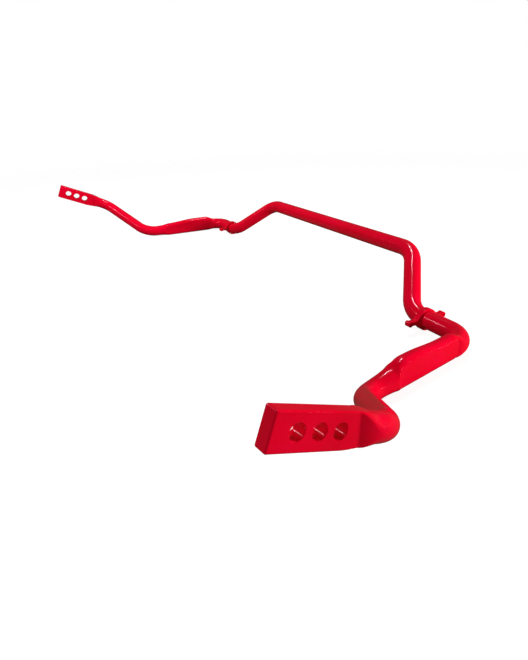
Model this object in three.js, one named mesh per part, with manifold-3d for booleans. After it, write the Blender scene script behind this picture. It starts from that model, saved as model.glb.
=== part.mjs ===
// A vehicle sway bar: one solid round spring-steel bar with a raised centre span, two bush
// journals, die-flattened lever arms and three-hole link pads, and at the inner end of each
// journal a collar, a steel band clamp crimped at its two ears, that keeps the bush in place.
// Millimetres. +X is across the vehicle, +Y points from the arms towards the centre span and
// +Z is up, with the bar lying on a floor. The origin is at the bottom centre of the bar's box.

import * as THREE from 'three';
import { mergeVertices } from 'three/addons/utils/BufferGeometryUtils.js';
import Module from 'manifold-3d';

const wasm = await Module();
wasm.setup();

// Round bar.
const BAR_DIAMETER = 25;
const LEG_DIAMETER = 23; // drawn slightly thinner beyond the flattened arm
const SEAM_GAP = 0.3; // between the centre section and each arm, hidden under the collar

// The journals' common axis, measured from the origin.
const JOURNAL_Y = 138.5;
const JOURNAL_Z = 15.4;

// Corners of the +X half of the centreline, measured from the journals' axis, and the radius
// of the bend at each corner.
const SPAN_CORNER = new THREE.Vector3(222, 66, 61);
const CRANK_CORNER = new THREE.Vector3(296, 0, 0);
const ELBOW_CORNER = new THREE.Vector3(393.5, 0, 0);
const LEG_FOOT_CORNER = new THREE.Vector3(420.5, -184.5, -2);
const LEG_HEAD_CORNER = new THREE.Vector3(529.5, -248, 56);
const PAD_END = new THREE.Vector3(537.6, -350.4, 101.6);
const SPAN_BEND = 50;
const CRANK_BEND = 48;
const ELBOW_BEND = 34;
const LEG_FOOT_BEND = 50;
const LEG_HEAD_BEND = 40;

// Lever arm pressed flat between dies. Its faces stand upright, and the metal that the dies
// displace spreads more to the top than to the bottom.
const ARM_THICKNESS = 17;
const ARM_ABOVE_AXIS = 19.5;
const ARM_BELOW_AXIS = 13.9;
const ARM_EDGE_RADIUS = 7.5;
const ARM_FLAT_START = 4; // after the end of the elbow bend
const ARM_FLAT_LENGTH = 102;
const ARM_FACE_RAMP = 8; // how far the flat faces take to run out into the round bar
const ARM_SPREAD_RAMP = 22; // the same for the top and bottom edges

// The two arms are pressed one at a time and their top edges come out a little different: how
// much higher each one stands at the outer end of its flat, between which lengths of the flat it
// gets there, and how far past the flat it starts to run out.
const RIGHT_CROWN = { height: 3.6, from: 25, to: 80, runOut: 1 };
const LEFT_CROWN = { height: -5, from: 35, to: 102, runOut: -4.4 };

// Forged link pad with three holes in line along its centreline.
const PAD_WIDTH = 28;
const PAD_THICKNESS = 12;
const PAD_EDGE_RADIUS = 1.6;
const PAD_FLAT_LENGTH = 64;
const PAD_TAPER = 20;
const PAD_ROLL = THREE.MathUtils.degToRad(3.7); // the outer face looks slightly down
const PAD_END_CHAMFER = 1;
const LINK_HOLE_DIAMETER = 12.5;
const LINK_HOLE_COUNT = 3;
const LINK_HOLE_PITCH = 18.5;
const LINK_HOLE_FROM_END = 20.5;

// Collar band clamp. The band follows the bar over the top and bottom and leaves it on straight
// shoulders for two ears, whose necks are crimped almost shut behind wider tips.
const COLLAR_X = 322;
const BAND_WIDTH = 9;
const BAND_THICKNESS = 2.4;
const BAND_CLEARANCE = 0.5; // over the bar
const SHOULDER_ANGLE = THREE.MathUtils.degToRad(45);
const SHOULDER_BEND = 3;
const NECK_GAP = 0.5;
const NECK_LENGTH = 6.8;
const TIP_FLARE = THREE.MathUtils.degToRad(40);
const TIP_FLARE_BEND = 2.5;
const TIP_BEND = 1.9;

// Facets.
const BAR_SIDES = 24;
const BEND_STEP = THREE.MathUtils.degToRad(8);
const RAMP_STEPS = 4;
const BAND_STEP = THREE.MathUtils.degToRad(11.25);

const coatRed = { color: 0xd8001f, roughness: 0.22, metalness: 0.0 };

// A circular arc that starts at a point and turns about an axis through a centre.
class BendCurve extends THREE.Curve {
  constructor(start, centre, axis, angle) {
    super();
    this.radial = start.clone().sub(centre);
    this.centre = centre;
    this.axis = axis;
    this.angle = angle;
  }

  getPoint(t, target = new THREE.Vector3()) {
    return target.copy(this.radial).applyAxisAngle(this.axis, this.angle * t).add(this.centre);
  }

  getTangent(t, target = new THREE.Vector3()) {
    target.crossVectors(this.axis, this.radial);
    return target.applyAxisAngle(this.axis, this.angle * t).normalize();
  }

  getLength() {
    return this.radial.length() * this.angle;
  }
}

// Straight lines between the corners, with a bend of the given radius at each inner corner.
function bentCentreline(corners, radii) {
  const pieces = [];
  let from = corners[0];
  radii.forEach((radius, i) => {
    const corner = corners[i + 1];
    const incoming = corner.clone().sub(corners[i]).normalize();
    const outgoing = corners[i + 2].clone().sub(corner).normalize();
    const angle = incoming.angleTo(outgoing);
    const setback = radius * Math.tan(angle / 2);
    const start = corner.clone().addScaledVector(incoming, -setback);
    const end = corner.clone().addScaledVector(outgoing, setback);
    const axis = incoming.clone().cross(outgoing).normalize();
    const centre = start.clone().addScaledVector(axis.clone().cross(incoming), radius);
    pieces.push(new THREE.LineCurve3(from, start));
    pieces.push(new BendCurve(start, centre, axis, angle));
    from = end;
  });
  pieces.push(new THREE.LineCurve3(from, corners[corners.length - 1]));
  return pieces;
}

// Running length at the start of each piece of a centreline, and at its end.
function marksAlong(pieces) {
  const marks = [0];
  pieces.forEach((piece) => marks.push(marks[marks.length - 1] + piece.getLength()));
  return marks;
}

function placeAlong(pieces, marks, length) {
  let i = 0;
  while (i < pieces.length - 1 && length > marks[i + 1]) i += 1;
  const t = THREE.MathUtils.clamp((length - marks[i]) / (marks[i + 1] - marks[i]), 0, 1);
  return { point: pieces[i].getPoint(t), tangent: pieces[i].getTangent(t) };
}

function evenly(from, to, steps) {
  return Array.from({ length: steps + 1 }, (_, i) => from + ((to - from) * i) / steps);
}

// Lengths at which a bar gets a ring of vertices: every join and every step of every bend, and
// the ramps between one section and the next.
function ringLengths(pieces, marks, ramps) {
  const lengths = [...marks];
  pieces.forEach((piece, i) => {
    if (piece instanceof BendCurve) {
      lengths.push(...evenly(marks[i], marks[i + 1], Math.ceil(piece.angle / BEND_STEP)));
    }
  });
  ramps.forEach(([from, to]) => lengths.push(...evenly(from, to, RAMP_STEPS)));
  const closest = 0.6;
  return lengths
    .sort((a, b) => a - b)
    .filter((length, i, all) => i === 0 || length - all[i - 1] > closest);
}

// A bar's section is a box with rounded edges around the centreline: half its thickness, its
// reach above and below the axis, its edge radius, and its roll about the axis. In a round
// section they are all the radius.
function roundSection(diameter) {
  const radius = diameter / 2;
  return { half: radius, above: radius, below: radius, edge: radius, roll: 0 };
}

// Corners of the section, starting on the side that faces along the ring's sideways direction.
// Flat sides touch the true outline, so widths across the flats are the real ones.
function sectionPoint(section, angle) {
  const reach = section.edge / Math.cos(Math.PI / BAR_SIDES);
  const cos = Math.cos(angle);
  const sin = Math.sin(angle);
  const height = sin > 0 ? section.above - section.edge : section.below - section.edge;
  return new THREE.Vector2(
    Math.sign(cos) * (section.half - section.edge) + reach * cos,
    Math.sign(sin) * height + reach * sin,
  );
}

// Sideways and upward directions of a ring, square to the bar and rolled about it.
function ringFrame(tangent, roll) {
  const up = new THREE.Vector3(0, 0, 1).addScaledVector(tangent, -tangent.z).normalize();
  const side = up.clone().cross(tangent);
  up.applyAxisAngle(tangent, -roll);
  side.applyAxisAngle(tangent, -roll);
  return { up, side };
}

// A solid bar along a centreline: a cylinder whose rings of vertices are moved to their places
// along the bends and whose section is shaped by sectionAt(length).
function barGeometry(pieces, ramps, sectionAt) {
  const marks = marksAlong(pieces);
  const lengths = ringLengths(pieces, marks, ramps);
  const rings = lengths.map((length) => {
    const { point, tangent } = placeAlong(pieces, marks, length);
    const section = sectionAt(length);
    return { point, section, ...ringFrame(tangent, section.roll) };
  });
  const geometry = new THREE.CylinderGeometry(1, 1, 1, BAR_SIDES, rings.length - 1);
  const position = geometry.getAttribute('position');
  const vertex = new THREE.Vector3();
  for (let i = 0; i < position.count; i += 1) {
    vertex.fromBufferAttribute(position, i);
    const ring = rings[Math.round((0.5 - vertex.y) * (rings.length - 1))];
    const onRim = Math.hypot(vertex.x, vertex.z) > 0.5;
    const angle = Math.atan2(vertex.z, vertex.x) + Math.PI / BAR_SIDES;
    const offset = onRim ? sectionPoint(ring.section, angle) : new THREE.Vector2();
    vertex.copy(ring.point);
    vertex.addScaledVector(ring.side, offset.x);
    vertex.addScaledVector(ring.up, offset.y);
    position.setXYZ(i, vertex.x, vertex.y, vertex.z);
  }
  return closed(geometry);
}

// Only positions, with vertices in one place shared.
function closed(geometry) {
  const bare = geometry.clone();
  bare.deleteAttribute('normal');
  bare.deleteAttribute('uv');
  return mergeVertices(bare, 1e-4);
}

function toSolid(geometry) {
  const mesh = new wasm.Mesh({
    numProp: 3,
    vertProperties: new Float32Array(geometry.getAttribute('position').array),
    triVerts: new Uint32Array(geometry.getIndex().array),
  });
  return new wasm.Manifold(mesh);
}

function toGeometry(solid) {
  const mesh = solid.getMesh();
  const geometry = new THREE.BufferGeometry();
  geometry.setAttribute('position', new THREE.BufferAttribute(mesh.vertProperties, 3));
  geometry.setIndex(new THREE.BufferAttribute(mesh.triVerts, 1));
  return geometry;
}

// 0 before a ramp, 1 after it and smooth between.
function rise(length, from, to) {
  return THREE.MathUtils.smoothstep(length, from, to);
}

function blend(a, b, amount) {
  return THREE.MathUtils.lerp(a, b, amount);
}

// A corner drawn on the +X side, moved to the given side.
function onSide(corner, side) {
  return new THREE.Vector3(side * corner.x, corner.y, corner.z);
}

// The raised span, its two cranked legs and the inner ends of both journals.
function centreSection() {
  const end = new THREE.Vector3(COLLAR_X - SEAM_GAP / 2, 0, 0);
  const half = [SPAN_CORNER, CRANK_CORNER, end];
  const corners = [...half.map((corner) => onSide(corner, -1)).reverse(), ...half];
  const pieces = bentCentreline(corners, [CRANK_BEND, SPAN_BEND, SPAN_BEND, CRANK_BEND]);
  return barGeometry(pieces, [], () => roundSection(BAR_DIAMETER));
}

// The outer end of a journal, the elbow, the flattened lever, the leg and the link pad.
// side is +1 for the right arm and -1 for the left one.
function armSection(side) {
  const corners = [
    new THREE.Vector3(COLLAR_X + SEAM_GAP / 2, 0, 0),
    ELBOW_CORNER,
    LEG_FOOT_CORNER,
    LEG_HEAD_CORNER,
    PAD_END,
  ].map((corner) => onSide(corner, side));
  const pieces = bentCentreline(corners, [ELBOW_BEND, LEG_FOOT_BEND, LEG_HEAD_BEND]);
  const marks = marksAlong(pieces);
  const total = marks[marks.length - 1];
  const elbowEnd = marks[2];
  const [legFootStart, legFootEnd] = [marks[3], marks[4]];
  const flatStart = elbowEnd + ARM_FLAT_START;
  const flatEnd = flatStart + ARM_FLAT_LENGTH;
  const padStart = total - PAD_FLAT_LENGTH;
  const spreadStart = [flatStart - ARM_SPREAD_RAMP * 0.7, flatStart + ARM_SPREAD_RAMP * 0.3];
  const crown = side > 0 ? RIGHT_CROWN : LEFT_CROWN;
  const crowning = [flatStart + crown.from, flatStart + crown.to];
  const runOutStart = flatEnd + crown.runOut;
  const spreadEnd = [runOutStart, runOutStart + ARM_SPREAD_RAMP * 0.8];
  const faceStart = [flatStart - ARM_FACE_RAMP, flatStart];
  const faceEnd = [flatEnd, flatEnd + ARM_FACE_RAMP];
  const taper = [padStart - PAD_TAPER, padStart];
  const chamfer = [total - PAD_END_CHAMFER, total];

  function sectionAt(length) {
    const drawn = rise(length, flatEnd, legFootStart);
    const round = roundSection(blend(BAR_DIAMETER, LEG_DIAMETER, drawn));
    const face = rise(length, ...faceStart) - rise(length, ...faceEnd);
    const spread = rise(length, ...spreadStart) - rise(length, ...spreadEnd);
    const pad = rise(length, ...taper);
    const endCut = THREE.MathUtils.clamp(length - chamfer[0], 0, PAD_END_CHAMFER);
    const half = blend(blend(round.half, ARM_THICKNESS / 2, face), PAD_THICKNESS / 2, pad);
    const armAbove = ARM_ABOVE_AXIS + crown.height * rise(length, ...crowning);
    const above = blend(blend(round.above, armAbove, spread), PAD_WIDTH / 2, pad);
    const below = blend(blend(round.below, ARM_BELOW_AXIS, spread), PAD_WIDTH / 2, pad);
    const edge = blend(blend(round.edge, ARM_EDGE_RADIUS, face), PAD_EDGE_RADIUS, pad);
    return {
      half: half - endCut,
      above: above - endCut,
      below: below - endCut,
      edge: Math.min(edge, half, above, below) - endCut,
      roll: side * PAD_ROLL * rise(length, legFootEnd, padStart),
    };
  }

  const ramps = [spreadStart, crowning, faceStart, faceEnd, spreadEnd, taper];
  const bar = toSolid(barGeometry(pieces, [...ramps, chamfer], sectionAt));
  const holes = linkHoles(pieces, marks, side);
  return toGeometry(holes.reduce((solid, hole) => solid.subtract(hole), bar));
}

// Cutters for the link holes, square to the pad's faces.
function linkHoles(pieces, marks, side) {
  const total = marks[marks.length - 1];
  return Array.from({ length: LINK_HOLE_COUNT }, (_, i) => {
    const length = total - LINK_HOLE_FROM_END - i * LINK_HOLE_PITCH;
    const { point, tangent } = placeAlong(pieces, marks, length);
    const across = ringFrame(tangent, side * PAD_ROLL).side;
    const radius = LINK_HOLE_DIAMETER / 2;
    const cutter = new THREE.CylinderGeometry(radius, radius, PAD_THICKNESS * 2, BAR_SIDES);
    const turn = new THREE.Quaternion().setFromUnitVectors(new THREE.Vector3(0, 1, 0), across);
    cutter.applyQuaternion(turn);
    cutter.translate(point.x, point.y, point.z);
    return toSolid(closed(cutter));
  });
}

// The two edges of a bent band. The route is a list of straight runs and turns of its mid-line,
// a turn to the left being positive, and the band lies half its thickness to each side.
function bandEdges(start, heading, route) {
  const left = [];
  const right = [];
  const at = start.clone();
  let angle = heading;
  const advance = (distance) => {
    at.x += distance * Math.cos(angle);
    at.y += distance * Math.sin(angle);
  };
  const mark = () => {
    const normal = new THREE.Vector2(-Math.sin(angle), Math.cos(angle));
    left.push(at.clone().addScaledVector(normal, BAND_THICKNESS / 2));
    right.push(at.clone().addScaledVector(normal, -BAND_THICKNESS / 2));
  };
  mark();
  route.forEach(({ run = 0, turn = 0, radius = 0 }) => {
    const steps = Math.ceil(Math.abs(turn) / BAND_STEP);
    for (let i = 0; i < steps; i += 1) {
      angle += turn / steps / 2;
      advance(2 * radius * Math.sin(Math.abs(turn) / steps / 2));
      angle += turn / steps / 2;
      mark();
    }
    if (run > 0) {
      advance(run);
      mark();
    }
  });
  return { left, right };
}

// A closed outline from one quarter of it, which starts on the upright axis and stops short of
// the level one.
function mirroredQuarter(quarter) {
  const otherSide = quarter.slice(1).map(({ x, y }) => new THREE.Vector2(-x, y));
  const upper = [...otherSide.reverse(), ...quarter];
  const lower = upper.map(({ x, y }) => new THREE.Vector2(x, -y)).reverse();
  return [...upper, ...lower];
}

// The band's mid-line from the top of the bar to the end face of an ear: over the bar, down the
// shoulder, out along the neck and round the tip's upper corner.
function collarShape() {
  const top = BAR_DIAMETER / 2 + BAND_CLEARANCE + BAND_THICKNESS / 2;
  const neckHeight = (BAND_THICKNESS + NECK_GAP) / 2;
  const bendDrop = (top + SHOULDER_BEND) * (1 - Math.cos(SHOULDER_ANGLE));
  const { left, right } = bandEdges(new THREE.Vector2(0, top), 0, [
    { turn: -SHOULDER_ANGLE, radius: top },
    { run: (top - neckHeight - bendDrop) / Math.sin(SHOULDER_ANGLE) },
    { turn: SHOULDER_ANGLE, radius: SHOULDER_BEND },
    { run: NECK_LENGTH },
    { turn: TIP_FLARE, radius: TIP_FLARE_BEND },
    { turn: -TIP_FLARE, radius: TIP_FLARE_BEND },
    { turn: -Math.PI / 2, radius: TIP_BEND },
  ]);
  const shape = new THREE.Shape(mirroredQuarter(left));
  shape.holes.push(new THREE.Path(mirroredQuarter(right).reverse()));
  return shape;
}

// The collar is drawn square to the journal: its drawing's axes become Y, Z and X.
function collar(name, side) {
  const settings = { depth: BAND_WIDTH, bevelEnabled: false };
  const geometry = new THREE.ExtrudeGeometry(collarShape(), settings);
  const axes = new THREE.Matrix4().makeBasis(
    new THREE.Vector3(0, 1, 0),
    new THREE.Vector3(0, 0, 1),
    new THREE.Vector3(1, 0, 0),
  );
  const mesh = piece(name, geometry);
  mesh.setRotationFromMatrix(axes);
  mesh.position.set(side * COLLAR_X - BAND_WIDTH / 2, 0, 0);
  return mesh;
}

function piece(name, geometry) {
  const mesh = new THREE.Mesh(geometry, new THREE.MeshStandardMaterial(coatRed));
  mesh.name = name;
  return mesh;
}

const swayBar = new THREE.Group();
swayBar.position.set(0, JOURNAL_Y, JOURNAL_Z);
swayBar.add(piece('centre_section', centreSection()));
[['right', 1], ['left', -1]].forEach(([label, side]) => {
  swayBar.add(piece(`${label}_arm`, armSection(side)));
  swayBar.add(collar(`${label}_collar`, side));
});

export default swayBar;
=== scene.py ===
import math

import bmesh
import bpy
from mathutils import Matrix, Quaternion, Vector


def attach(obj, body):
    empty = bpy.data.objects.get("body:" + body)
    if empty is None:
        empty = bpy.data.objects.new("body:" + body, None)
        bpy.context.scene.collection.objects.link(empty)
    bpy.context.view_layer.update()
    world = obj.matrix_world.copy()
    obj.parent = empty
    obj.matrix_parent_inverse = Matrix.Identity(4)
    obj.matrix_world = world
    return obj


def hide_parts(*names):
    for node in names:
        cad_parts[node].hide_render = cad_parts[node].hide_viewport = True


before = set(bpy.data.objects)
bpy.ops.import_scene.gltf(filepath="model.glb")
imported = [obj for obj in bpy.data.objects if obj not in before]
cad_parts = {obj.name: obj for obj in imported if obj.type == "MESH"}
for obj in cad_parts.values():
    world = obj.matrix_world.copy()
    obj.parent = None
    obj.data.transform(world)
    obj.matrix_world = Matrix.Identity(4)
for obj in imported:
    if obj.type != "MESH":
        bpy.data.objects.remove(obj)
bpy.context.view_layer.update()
scene = bpy.context.scene
MM = 0.001

# Camera: a wide phone lens close to the right link pad, looking down along the bar towards the
# far arm. The small shift frames the bar a little right of and above the optical axis.
camera_data = bpy.data.cameras.new("camera")
camera_data.lens = 26.09
camera_data.sensor_width = 36
camera_data.shift_x = -0.0279
camera_data.shift_y = -0.0440
camera_data.clip_start = 0.01
camera = bpy.data.objects.new("camera", camera_data)
scene.collection.objects.link(camera)
camera_right = Vector((0.4897, 0.8711, -0.0371))
camera_up = Vector((-0.3155, 0.2167, 0.9238))
camera_back = camera_right.cross(camera_up)
camera.matrix_world = Matrix.LocRotScale(
    Vector((0.7449, -0.3093, 0.2908)),
    Matrix((camera_right, camera_up, camera_back)).transposed(),
    None,
)
scene.camera = camera

# Centre section of the bar: round spring steel of 25 mm, cold bent into a raised span between two
# cranked legs, blasted and sprayed with gloss red powder. It is drawn as a straight blank with a
# ring of vertices at every station and then bent along its centreline.
BAR_RADIUS = 12.5 * MM
SEAM_GAP = 0.3 * MM
JOURNAL = Vector((0, 138.5, 15.4)) * MM
COLLAR_X = 322 * MM
SPAN_CORNER = Vector((222, 66, 61)) * MM
CRANK_CORNER = Vector((296, 0, 0)) * MM
SPAN_BEND = 50 * MM
CRANK_BEND = 48 * MM
RING_SIDES = 64
FINE_STEP = 1.25 * MM
COARSE_STEP = 5 * MM


def centreline(corners, radii):
    """Straight runs and round bends as (length, point at a share of it) pairs, and their marks."""
    runs, start = [], corners[0]
    for before, corner, after, radius in zip(corners, corners[1:], corners[2:], radii):
        incoming = (corner - before).normalized()
        outgoing = (after - corner).normalized()
        angle = incoming.angle(outgoing)
        setback = radius * math.tan(angle / 2)
        bend_start = corner - incoming * setback
        axis = incoming.cross(outgoing).normalized()
        centre = bend_start + axis.cross(incoming) * radius
        runs.append(((bend_start - start).length, start.lerp, bend_start))
        arm = bend_start - centre
        runs.append((radius * angle, (centre, arm, axis, angle), None))
        start = corner + outgoing * setback
    runs.append(((corners[-1] - start).length, start.lerp, corners[-1]))
    marks = [0.0]
    for run in runs:
        marks.append(marks[-1] + run[0])
    return runs, marks


def point_along(runs, marks, length):
    """The point of a centreline at a length from its start."""
    i = 0
    while i < len(runs) - 1 and length > marks[i + 1]:
        i += 1
    share = (length - marks[i]) / (marks[i + 1] - marks[i])
    _, shape, end = runs[i]
    if end is not None:
        return shape(end, share)
    centre, arm, axis, angle = shape
    return centre + Quaternion(axis, angle * share) @ arm


def stations(marks, steps):
    """Places for the rings of vertices: at every mark, at the closest step that covers a run."""
    places = [marks[0]]
    for start, end in zip(marks, marks[1:]):
        middle = (start + end) / 2
        step = min([step for low, high, step in steps if low < middle < high] + [COARSE_STEP])
        count = max(1, round((end - start) / step))
        places += [start + (end - start) * (i + 1) / count for i in range(count)]
    return places


def bend_steps(runs, marks):
    """The fine step over every bend."""
    spans = zip(runs, marks, marks[1:])
    return [(start, end, FINE_STEP) for run, start, end in spans if run[2] is None]


def only(obj):
    """Selects one object and makes it the active one."""
    bpy.ops.object.select_all(action="DESELECT")
    obj.select_set(True)
    bpy.context.view_layer.objects.active = obj


def straight_blank(name, places):
    """A round bar along X, a disc extruded from each station to the next."""
    bpy.ops.object.select_all(action="DESELECT")
    bpy.ops.mesh.primitive_circle_add(
        vertices=RING_SIDES,
        radius=BAR_RADIUS,
        fill_type="NGON",
        location=(places[0], 0, 0),
        rotation=(0, math.pi / 2, 0),
    )
    blank = bpy.context.object
    blank.name = blank.data.name = name
    bpy.ops.object.transform_apply(location=True, rotation=True, scale=True)
    bpy.ops.object.mode_set(mode="EDIT")
    bpy.ops.mesh.select_all(action="SELECT")
    half_side = math.pi / RING_SIDES
    bpy.ops.transform.rotate(value=half_side, orient_axis="X", center_override=(0, 0, 0))
    for here, there in zip(places, places[1:]):
        bpy.ops.mesh.extrude_region_move(TRANSFORM_OT_translate={"value": (there - here, 0, 0)})
    bpy.ops.mesh.select_all(action="SELECT")
    bpy.ops.mesh.normals_make_consistent(inside=False)
    bpy.ops.object.mode_set(mode="OBJECT")
    return blank


def apply_modifier(obj, kind, **settings):
    """Adds one modifier to an object and applies it."""
    only(obj)
    modifier = obj.modifiers.new(kind.title(), kind)
    for key, value in settings.items():
        setattr(modifier, key, value)
    bpy.ops.object.modifier_apply(modifier=modifier.name)


def bend_blank(blank, runs, marks, roll=lambda length: 0.0):
    """Bends a straight blank along its centreline, its top kept upwards apart from the roll."""
    guide_data = bpy.data.curves.new("centreline", "CURVE")
    guide_data.dimensions = "3D"
    guide_data.twist_mode = "Z_UP"
    spline = guide_data.splines.new("POLY")
    count = round(marks[-1] / FINE_STEP)
    spline.points.add(count)
    for i, guide_point in enumerate(spline.points):
        length = marks[-1] * i / count
        guide_point.co = (*(point_along(runs, marks, length) + JOURNAL), 1)
        guide_point.tilt = roll(length)
    guide = bpy.data.objects.new("centreline", guide_data)
    scene.collection.objects.link(guide)
    straight = [c for v in blank.data.vertices for c in v.co]
    blank.data.attributes.new("blank", "FLOAT_VECTOR", "POINT").data.foreach_set("vector", straight)
    apply_modifier(blank, "CURVE", object=guide, deform_axis="POS_X")
    bpy.data.objects.remove(guide)


def finish_steel(obj, angle):
    """Smooth shading that stays flat on flat faces and sharp over the given angle."""
    only(obj)
    bpy.ops.object.mode_set(mode="EDIT")
    bpy.ops.mesh.select_all(action="SELECT")
    bpy.ops.mesh.normals_make_consistent(inside=False)
    bpy.ops.object.mode_set(mode="OBJECT")
    bpy.ops.object.shade_smooth_by_angle(angle=math.radians(angle))
    apply_modifier(obj, "WEIGHTED_NORMAL", weight=80, keep_sharp=True)


seam = Vector((COLLAR_X - SEAM_GAP / 2, 0, 0))
half_corners = [SPAN_CORNER, CRANK_CORNER, seam]
mirrored = [Vector((-c.x, c.y, c.z)) for c in reversed(half_corners)]
centre_runs, centre_marks = centreline(
    mirrored + half_corners, [CRANK_BEND, SPAN_BEND, SPAN_BEND, CRANK_BEND]
)
centre_places = stations(centre_marks, bend_steps(centre_runs, centre_marks))
centre_bar = straight_blank("centre_bar", centre_places)
bend_blank(centre_bar, centre_runs, centre_marks)
finish_steel(centre_bar, 50)


class Wire:
    """A shader socket. Arithmetic on it adds Math nodes to its material."""

    def __init__(self, socket):
        self.socket = socket

    @staticmethod
    def node(tree, kind, settings=None, inputs=None, output=0):
        made = tree.nodes.new("ShaderNode" + kind)
        for key, value in (settings or {}).items():
            if key == "stops":
                elements = made.color_ramp.elements
                while len(elements) < len(value):
                    elements.new(1)
                for element, (position, colour) in zip(elements, value):
                    element.position = position
                    element.color = colour
            else:
                setattr(made, key, value)
        for key, value in (inputs or {}).items():
            if isinstance(value, Wire):
                tree.links.new(value.socket, made.inputs[key])
            else:
                made.inputs[key].default_value = value
        return Wire(made.outputs[output]) if made.outputs else None

    def maths(self, operation, first, second):
        values = {0: first, 1: second}
        return Wire.node(self.socket.id_data, "Math", {"operation": operation}, values)

    def __add__(self, other):
        return self.maths("ADD", self, other)

    __radd__ = __add__

    def __sub__(self, other):
        return self.maths("SUBTRACT", self, other)

    def __rsub__(self, other):
        return self.maths("SUBTRACT", other, self)

    def __mul__(self, other):
        return self.maths("MULTIPLY", self, other)

    __rmul__ = __mul__

    def between(self, low, high):
        """0 below low, 1 above high and smooth between."""
        settings = {"interpolation_type": "SMOOTHSTEP"}
        inputs = {"Value": self, "From Min": low, "From Max": high}
        return Wire.node(self.socket.id_data, "MapRange", settings, inputs)


# Gloss red powder coat: a pigmented layer that has flowed out into fine orange peel, a little
# uneven in thickness, with faint patches of handling dust that dull the gloss.
COAT_RED = (0.86, 0.0, 0.022, 1)
COAT_RED_THIN = (0.76, 0.0, 0.017, 1)
COAT_RED_DEEP = (0.90, 0.0, 0.032, 1)
GLOSS_TINT = (1.0, 0.35, 0.55, 1)
GLOSS_ROUGHNESS = 0.16
DUST_ROUGHNESS = 0.08
CLEAR_WEIGHT = 0.3
DUST_WEIGHT = 0.1
BAR_SWELL = 0.012
COLLAR_SWELL = 0.008


def red_coat(name, unevenness):
    """The powder coat, with the given height of its slow swell in millimetres."""
    material = bpy.data.materials.new(name)
    material.use_nodes = True
    tree = material.node_tree
    tree.nodes.clear()
    place = Wire.node(tree, "TexCoord", output=3)

    def noise(scale, detail, roughness=0.5):
        inputs = {"Vector": place, "Scale": scale, "Detail": detail, "Roughness": roughness}
        return Wire.node(tree, "TexNoise", None, inputs)

    cloud = noise(22, 3)
    mottle = noise(140, 4, 0.6)
    body = Wire.node(
        tree,
        "ValToRGB",
        {"stops": [(0.30, COAT_RED_THIN), (0.52, COAT_RED), (0.75, COAT_RED_DEEP)]},
        {0: cloud * 0.75 + mottle * 0.25},
    )
    peel = noise(330, 2)
    pores = noise(1500, 1)
    swell = noise(60, 1.5)
    relief = peel * 0.003 + pores * 0.0004 + swell * unevenness
    bump = Wire.node(tree, "Bump", None, {"Strength": 1, "Distance": MM, "Height": relief})
    dust = mottle.between(0.45, 0.75)
    shader = Wire.node(
        tree,
        "BsdfPrincipled",
        None,
        {
            "Base Color": body,
            "Roughness": GLOSS_ROUGHNESS + dust * DUST_ROUGHNESS,
            "IOR": 1.38,
            "Specular Tint": GLOSS_TINT,
            "Coat Weight": CLEAR_WEIGHT - dust * DUST_WEIGHT,
            "Coat Roughness": 0.06,
            "Coat IOR": 1.4,
            "Normal": bump,
        },
    )
    Wire.node(tree, "OutputMaterial", None, {"Surface": shader})
    return material


bar_coat = red_coat("bar_coat", BAR_SWELL)
centre_bar.data.materials.append(bar_coat)
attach(centre_bar, "centre")
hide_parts("centre_section")

# Lever arms: the same bar bent down at the elbow, pressed flat between dies along the lever,
# drawn to 23 mm up the leg and forged into a flat link pad with three drilled holes.
ELBOW_CORNER = Vector((393.5, 0, 0)) * MM
LEG_FOOT_CORNER = Vector((420.5, -184.5, -2)) * MM
LEG_HEAD_CORNER = Vector((529.5, -248, 56)) * MM
PAD_END = Vector((537.6, -350.4, 101.6)) * MM
ARM_BENDS = [34 * MM, 50 * MM, 40 * MM]
LEG_RADIUS = 11.5 * MM
ARM_HALF = 8.5 * MM
ARM_ABOVE = 19.5 * MM
ARM_BELOW = 13.9 * MM
ARM_EDGE = 7.5 * MM
ARM_FLAT_START = 4 * MM
ARM_FLAT_LENGTH = 102 * MM
ARM_FACE_RAMP = 5 * MM
ARM_SPREAD_IN = (-15.4 * MM, 6.6 * MM)
ARM_LOW_SPREAD_OUT = (-4.4 * MM, 13.2 * MM)
ARM_TAIL = (6 * MM, 50 * MM)
DIE_SLOPE_IN = 0.22
DIE_SLOPE_OUT = 0.5
DIE_RUN_IN = 16 * MM
DIE_RUN_OUT = 8 * MM
DIE_STEP = 0.6 * MM
MARK_GAP = 0.1 * MM
LEAST_EDGE = 0.15 * MM
PAD_HALF = 6 * MM
PAD_REACH = 14 * MM
PAD_EDGE = 1.6 * MM
PAD_NOSE = 1.4 * MM
PAD_FLAT = 75 * MM
PAD_SLANT = -3.5 * MM
PAD_TAPER = 21 * MM
PAD_LOW_TAPER = (86 * MM, 61 * MM)
PAD_ROLL = math.radians(3.7)
NOSE_STEPS = 5
HOLE_RADIUS = 6.25 * MM
HOLE_COUNT = 3
HOLE_PITCH = 18.5 * MM
HOLE_FROM_END = 20.5 * MM
HOLE_RIM = 0.5 * MM
RIM_STEPS = ((0.25, 0.6), (0.75, 0.4))
DRILL_OVERRUN = 3 * MM

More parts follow.
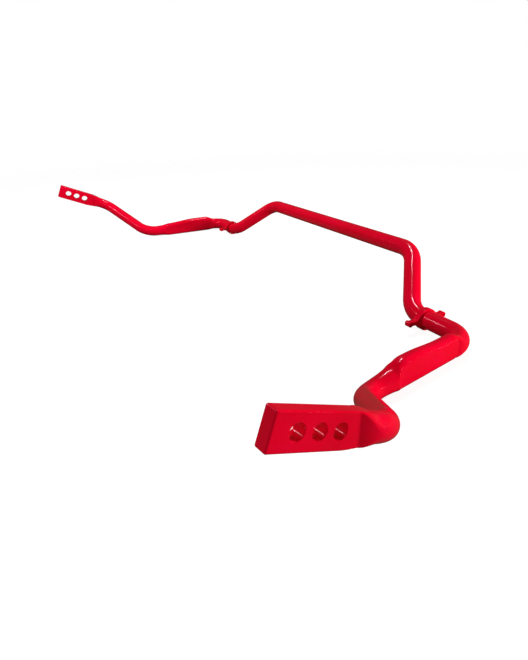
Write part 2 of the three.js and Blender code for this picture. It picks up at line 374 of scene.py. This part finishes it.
arm_corners = [
    Vector((COLLAR_X + SEAM_GAP / 2, 0, 0)),
    ELBOW_CORNER,
    LEG_FOOT_CORNER,
    LEG_HEAD_CORNER,
    PAD_END,
]
arm_runs, arm_marks = centreline(arm_corners, ARM_BENDS)
arm_total = arm_marks[-1]
flat_start = arm_marks[2] + ARM_FLAT_START
flat_end = flat_start + ARM_FLAT_LENGTH
pad_start = arm_total - PAD_FLAT
spread_in = tuple(flat_start + place for place in ARM_SPREAD_IN)
low_spread_out = tuple(flat_end + place for place in ARM_LOW_SPREAD_OUT)
face_in = (flat_start - DIE_RUN_IN, flat_start)
face_out = (flat_end, flat_end + DIE_RUN_OUT)
taper = (pad_start - PAD_TAPER, pad_start)
low_taper = tuple(arm_total - place for place in PAD_LOW_TAPER)


def smooth(length, span):
    """0 before a span, 1 after it and smooth between."""
    share = min(1.0, max(0.0, (length - span[0]) / (span[1] - span[0])))
    return share * share * (3 - 2 * share)


def crisp(share):
    """Rises from 0 at once, as off the edge of a die, and eases into 1."""
    share = min(1.0, max(0.0, share))
    return 1 - (1 - share) ** 2


def blend(first, second, amount):
    return first + (second - first) * amount


def arm_section(length, crown):
    """Half thickness, reach above and below, edge radius, slant and die opening of a section.

    The dies press the lever's sides flat. Past each end of the flat they open at a slope.
    """
    rise, crowning, spread_out, tail = crown
    round_radius = blend(BAR_RADIUS, LEG_RADIUS, smooth(length, (flat_end, arm_marks[3])))
    outside = max(flat_start - length, length - flat_end, 0.0)
    face = 1 - crisp(outside / ARM_FACE_RAMP)
    die = ARM_HALF + outside * (DIE_SLOPE_IN if length < flat_start else DIE_SLOPE_OUT)
    if length > arm_marks[3]:
        die = BAR_RADIUS * 2
    spread = smooth(length, spread_in) - (1 - tail) * smooth(length, spread_out)
    spread -= tail * smooth(length, tuple(spread_out[0] + place for place in ARM_TAIL))
    pad = 1 - crisp((pad_start - length) / PAD_TAPER)
    wide = smooth(length, taper)
    nose = max(0.0, length - (arm_total - PAD_NOSE))
    inset = PAD_NOSE - math.sqrt(max(0.0, PAD_NOSE**2 - nose**2))
    half = blend(blend(round_radius, ARM_HALF, face), PAD_HALF, pad) - inset
    arm_above = ARM_ABOVE + rise * smooth(length, crowning)
    above = blend(blend(round_radius, arm_above, spread), PAD_REACH, wide) - inset
    low_spread = smooth(length, spread_in) - smooth(length, low_spread_out)
    low_wide = smooth(length, low_taper)
    below = blend(blend(round_radius, ARM_BELOW, low_spread), PAD_REACH, low_wide) - inset
    edge = blend(blend(round_radius, ARM_EDGE, face), PAD_EDGE, wide) - inset
    edge = max(LEAST_EDGE, min(edge, half, above, below))
    slant = PAD_SLANT * max(0.0, 1 - abs(length - pad_start) / PAD_TAPER)
    return half, above, below, edge, slant, die


def arm_stations(spread_out):
    """Places for an arm's rings, close together where its section changes and over its nose."""
    marks = sorted(
        [*arm_marks[:-1], *spread_in, *spread_out, *face_in, *face_out, *taper, *low_taper]
        + [pad_start + PAD_TAPER, arm_total - PAD_NOSE]
    )
    steps = bend_steps(arm_runs, arm_marks)
    for start, end in (spread_in, (flat_end, arm_marks[3]), (taper[0], pad_start + PAD_TAPER)):
        steps.append((start, end, FINE_STEP))
    steps += [(*face_in, DIE_STEP), (*face_out, DIE_STEP)]
    apart = [m for i, m in enumerate(marks) if i == 0 or m - marks[i - 1] > MARK_GAP]
    places = stations(apart, steps)
    for i in range(1, NOSE_STEPS + 1):
        turned = math.pi / 2 * i / NOSE_STEPS
        places.append(arm_total - PAD_NOSE * (1 - math.sin(turned)))
    return places


def press_sections(blank, places, section_at):
    """Presses the rings of a blank from round to their sections, quarter by quarter."""
    only(blank)
    bpy.ops.object.mode_set(mode="EDIT")
    shape = bmesh.from_edit_mesh(blank.data)
    rings = {place: [] for place in places}
    for vertex in shape.verts:
        rings[min(places, key=lambda place: abs(place - vertex.co.x))].append(vertex)
    plain = (BAR_RADIUS, BAR_RADIUS, BAR_RADIUS, BAR_RADIUS, 0)
    groups = {}
    for place in places:
        section = tuple(round(v, 7) for v in section_at(place))
        if section[:5] != plain:
            groups.setdefault(section, []).extend(rings[place])

    def hold(vertices):
        bpy.ops.mesh.select_all(action="DESELECT")
        for vertex in vertices:
            vertex.select = True

    for (half, above, below, edge, slant, die), ring in groups.items():
        outer = [v for v in ring if v.co.y > 0]
        inner = [v for v in ring if v.co.y < 0]
        upper = [v for v in ring if v.co.z > 0]
        lower = [v for v in ring if v.co.z < 0]
        hold(ring)
        size = edge / BAR_RADIUS
        bpy.ops.transform.resize(value=(1, size, size), center_override=(0, 0, 0))
        for quarter, shift in (
            (outer, (0, half - edge, 0)),
            (inner, (0, edge - half, 0)),
            (upper, (-slant, 0, above - edge)),
            (lower, (slant, 0, edge - below)),
        ):
            hold(quarter)
            bpy.ops.transform.translate(value=shift)
        for side in (1, -1):
            proud = [v for v in ring if v.co.y * side > die]
            if proud:
                hold(proud)
                bpy.ops.transform.resize(value=(1, 0, 1), center_override=(0, side * die, 0))
    bpy.ops.object.mode_set(mode="OBJECT")


def link_drill(length):
    """The drill and countersink that cut one link hole through a pad in the straight blank."""
    bpy.ops.object.select_all(action="DESELECT")
    bpy.ops.mesh.primitive_cylinder_add(
        vertices=RING_SIDES,
        radius=HOLE_RADIUS,
        depth=2 * (PAD_HALF - HOLE_RIM),
        location=(length, 0, 0),
        rotation=(math.pi / 2, 0, 0),
    )
    drill = bpy.context.object
    bpy.ops.object.transform_apply(location=True, rotation=True, scale=True)
    bpy.ops.object.mode_set(mode="EDIT")
    bpy.ops.mesh.select_mode(type="FACE")
    for side in (1, -1):
        shape = bmesh.from_edit_mesh(drill.data)
        bpy.ops.mesh.select_all(action="DESELECT")
        for face in shape.faces:
            face.select = face.normal.y * side > 0.9
        reach = HOLE_RADIUS
        for out, rise in RIM_STEPS:
            bpy.ops.mesh.extrude_region_move(
                TRANSFORM_OT_translate={"value": (0, side * rise * HOLE_RIM, 0)}
            )
            wider = reach + out * HOLE_RIM
            size = wider / reach
            bpy.ops.transform.resize(value=(size, 1, size), center_override=(length, 0, 0))
            reach = wider
        overrun = (0, side * DRILL_OVERRUN, 0)
        bpy.ops.mesh.extrude_region_move(TRANSFORM_OT_translate={"value": overrun})
    bpy.ops.mesh.select_mode(type="VERT")
    bpy.ops.object.mode_set(mode="OBJECT")
    return drill


def forge_arm(name, crown):
    """Presses, drills and bends one arm, as the one on the right."""
    places = arm_stations(crown[2])
    arm = straight_blank(name, places)
    press_sections(arm, places, lambda length: arm_section(length, crown))
    for i in range(HOLE_COUNT):
        drill = link_drill(arm_total - HOLE_FROM_END - i * HOLE_PITCH)
        apply_modifier(arm, "BOOLEAN", operation="DIFFERENCE", solver="EXACT", object=drill)
        bpy.data.objects.remove(drill)
    roll_span = (arm_marks[4], pad_start)
    bend_blank(arm, arm_runs, arm_marks, lambda length: PAD_ROLL * smooth(length, roll_span))
    return arm


# How the dies differ from arm to arm: the extra height of the lever's top edge, where it comes
# in, where the height runs out past the flat, and the share of it that tails off slowly.
RIGHT_CROWN = (
    3.6 * MM,
    (flat_start + 25 * MM, flat_start + 80 * MM),
    (flat_end - 10 * MM, flat_end + 12 * MM),
    0.35,
)
LEFT_CROWN = (
    -5 * MM,
    (flat_start + 35 * MM, flat_start + 102 * MM),
    (flat_end - 4.4 * MM, flat_end + 13.2 * MM),
    0.0,
)
right_arm = forge_arm("right_arm_bar", RIGHT_CROWN)
left_arm = forge_arm("left_arm_bar", LEFT_CROWN)
only(left_arm)
bpy.ops.object.mode_set(mode="EDIT")
bpy.ops.mesh.select_all(action="SELECT")
bpy.ops.transform.resize(value=(-1, 1, 1), center_override=(0, 0, 0))
bpy.ops.object.mode_set(mode="OBJECT")

for arm, body in ((right_arm, "right_arm"), (left_arm, "left_arm")):
    finish_steel(arm, 35)
    arm.data.materials.append(bar_coat)
    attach(arm, body)
    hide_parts(body)

# Collars: each a strip of 9 by 2.4 mm steel rolled round the bar and crimped at two ears, coated
# with the bar. It is drawn as a quarter, the strip's section spun and extruded from the top of the
# bar to the middle of an ear's end face, and mirrored.
BAND_WIDTH = 9 * MM
BAND_THICKNESS = 2.4 * MM
BAND_CLEARANCE = 0.5 * MM
SHOULDER_ANGLE = math.radians(45)
SHOULDER_BEND = 3 * MM
NECK_GAP = 0.5 * MM
NECK_LENGTH = 6.8 * MM
TIP_FLARE = math.radians(40)
TIP_FLARE_BEND = 2.5 * MM
TIP_BEND = 1.9 * MM
BAND_ROUNDING = 0.55 * MM
BAND_STEP = math.radians(7)
ON_PLANE = 1e-6


def collar_strip(name):
    """One collar about the X axis, its ears along Y."""
    band_radius = BAR_RADIUS + BAND_CLEARANCE + BAND_THICKNESS / 2
    neck_height = (BAND_THICKNESS + NECK_GAP) / 2
    bend_drop = (band_radius + SHOULDER_BEND) * (1 - math.cos(SHOULDER_ANGLE))
    shoulder = (band_radius - neck_height - bend_drop) / math.sin(SHOULDER_ANGLE)
    bpy.ops.object.select_all(action="DESELECT")
    bpy.ops.mesh.primitive_plane_add(
        size=1, location=(0, 0, band_radius), rotation=(math.pi / 2, 0, 0)
    )
    strip = bpy.context.object
    strip.name = strip.data.name = name
    strip.scale = (BAND_WIDTH, BAND_THICKNESS, 1)
    bpy.ops.object.transform_apply(location=True, rotation=True, scale=True)
    bpy.ops.object.mode_set(mode="EDIT")
    bpy.ops.mesh.select_all(action="SELECT")
    at = Vector((0, 0, band_radius))
    heading = Vector((0, 1, 0))
    for run, turn, radius in (
        (0, -SHOULDER_ANGLE, band_radius),
        (shoulder, SHOULDER_ANGLE, SHOULDER_BEND),
        (NECK_LENGTH, TIP_FLARE, TIP_FLARE_BEND),
        (0, -TIP_FLARE, TIP_FLARE_BEND),
        (0, -math.pi / 2, TIP_BEND),
    ):
        if run:
            bpy.ops.mesh.extrude_region_move(TRANSFORM_OT_translate={"value": heading * run})
            at += heading * run
        turning = Quaternion((1, 0, 0), turn)
        aside = Vector((0, -heading.z, heading.y)) * math.copysign(radius, turn)
        hub = at + aside
        steps = max(3, round(abs(turn) / BAND_STEP))
        bpy.ops.mesh.spin(steps=steps, angle=-turn, center=hub, axis=(1, 0, 0))
        at = hub - turning @ aside
        heading = turning @ heading
    bpy.ops.mesh.extrude_region_move(TRANSFORM_OT_translate={"value": (0, 0, -at.z)})
    shape = bmesh.from_edit_mesh(strip.data)
    cut_ends = [f for f in shape.faces if all(abs(v.co.z) < ON_PLANE for v in f.verts)]
    cut_ends += [f for f in shape.faces if all(abs(v.co.y) < ON_PLANE for v in f.verts)]
    bmesh.ops.delete(shape, geom=cut_ends, context="FACES_ONLY")
    bmesh.update_edit_mesh(strip.data)
    bpy.ops.mesh.select_all(action="SELECT")
    bpy.ops.mesh.normals_make_consistent(inside=False)
    bpy.ops.object.mode_set(mode="OBJECT")
    apply_modifier(strip, "MIRROR", use_axis=(False, True, True), merge_threshold=1e-5)
    apply_modifier(
        strip,
        "BEVEL",
        width=BAND_ROUNDING,
        segments=3,
        limit_method="ANGLE",
        angle_limit=math.radians(60),
    )
    return strip


collar_coat = red_coat("collar_coat", COLLAR_SWELL)
right_collar = collar_strip("right_collar_band")
only(right_collar)
bpy.ops.object.duplicate()
left_collar = bpy.context.object
left_collar.name = left_collar.data.name = "left_collar_band"
for collar, side, node in ((right_collar, 1, "right_collar"), (left_collar, -1, "left_collar")):
    only(collar)
    bpy.ops.object.mode_set(mode="EDIT")
    bpy.ops.mesh.select_all(action="SELECT")
    bpy.ops.transform.translate(value=JOURNAL + Vector((side * COLLAR_X, 0, 0)))
    bpy.ops.object.mode_set(mode="OBJECT")
    finish_steel(collar, 40)
    collar.data.materials.append(collar_coat)
    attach(collar, "centre")
    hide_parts(node)

# Studio: a plain pale floor that fades out into a pale surround. A broad light low beyond the
# right elbow, a fill in front and a small one over the far arm give the soft light, and two
# strips draw the long highlights on the gloss.
FLOOR_RADIUS = 12
FLOOR_FADE = (0.7, 2.6)
FLOOR_MATT = (0.3, 0.3, 0.3, 1)
FLOOR_BOUNCE = (0.13, 0.085, 0.065, 1)
FLOOR_GLOW = 0.88
WHITE = (1, 1, 1, 1)
SURROUND_LIGHT = (0.05, 0.042, 0.036, 1)

bpy.ops.object.select_all(action="DESELECT")
bpy.ops.mesh.primitive_circle_add(
    vertices=96, radius=FLOOR_RADIUS, fill_type="NGON", location=(0, 0, 0)
)
floor = bpy.context.object
floor.name = "floor"
floor_paint = bpy.data.materials.new("floor_paint")
floor_paint.use_nodes = True
ground = floor_paint.node_tree
ground.nodes.clear()
ray = Wire.node(ground, "LightPath")
matt = Wire.node(ground, "BsdfDiffuse", None, {"Color": FLOOR_MATT})
glow = Wire.node(ground, "Emission", None, {"Color": WHITE, "Strength": FLOOR_GLOW})
pale = Wire.node(ground, "AddShader", None, {0: matt, 1: glow})
bounce = Wire.node(ground, "BsdfDiffuse", None, {"Color": FLOOR_BOUNCE})
solid_floor = Wire.node(ground, "MixShader", None, {0: ray, 1: bounce, 2: pale})
spot = Wire.node(ground, "TexCoord", output=3)
far = Wire.node(ground, "VectorMath", {"operation": "LENGTH"}, {0: spot}, output=1)
clear = Wire.node(ground, "BsdfTransparent")
fade = far.between(*FLOOR_FADE)
faded = Wire.node(ground, "MixShader", None, {0: fade, 1: solid_floor, 2: clear})
Wire.node(ground, "OutputMaterial", None, {"Surface": faded})
floor.data.materials.append(floor_paint)


def soft_box(name, place, target, size, power, shines=True):
    """One area light. shines is whether it shows in the gloss."""
    light_data = bpy.data.lights.new(name, "AREA")
    light_data.shape = "RECTANGLE"
    light_data.size, light_data.size_y = size
    light_data.energy = power
    light = bpy.data.objects.new(name, light_data)
    light.location = place
    light.rotation_mode = "QUATERNION"
    light.rotation_quaternion = (Vector(target) - Vector(place)).to_track_quat("-Z", "Y")
    light.visible_camera = False
    light.visible_glossy = shines
    scene.collection.objects.link(light)


soft_box("window_box", (1.1, 1.1, 0.15), (0.2, 0, 0.05), (1.0, 0.4), 29, shines=False)
soft_box("fill_box", (1.5, -1.6, 0.7), (0.2, 0, 0.05), (1.4, 0.9), 8, shines=False)
soft_box("far_box", (-0.1, -0.3, 0.35), (-0.48, -0.02, 0.02), (0.3, 0.3), 1, shines=False)
soft_box("near_strip", (-0.4, 0.5, 1.9), (0.2, 0, 0), (0.1, 0.9), 18)
soft_box("front_strip", (-0.5, -1.3, 1.1), (0, 0, 0), (1.4, 0.05), 10)

world = bpy.data.worlds.new("surround")
world.use_nodes = True
scene.world = world
air = world.node_tree
air.nodes.clear()
seen = Wire.node(air, "Background", None, {"Color": WHITE, "Strength": 1.0})
lit = Wire.node(air, "Background", None, {"Color": SURROUND_LIGHT, "Strength": 1.0})
ray = Wire.node(air, "LightPath")
surround = Wire.node(air, "MixShader", None, {0: ray, 1: lit, 2: seen})
Wire.node(air, "OutputWorld", None, {"Surface": surround})
scene.view_settings.view_transform = "Standard"
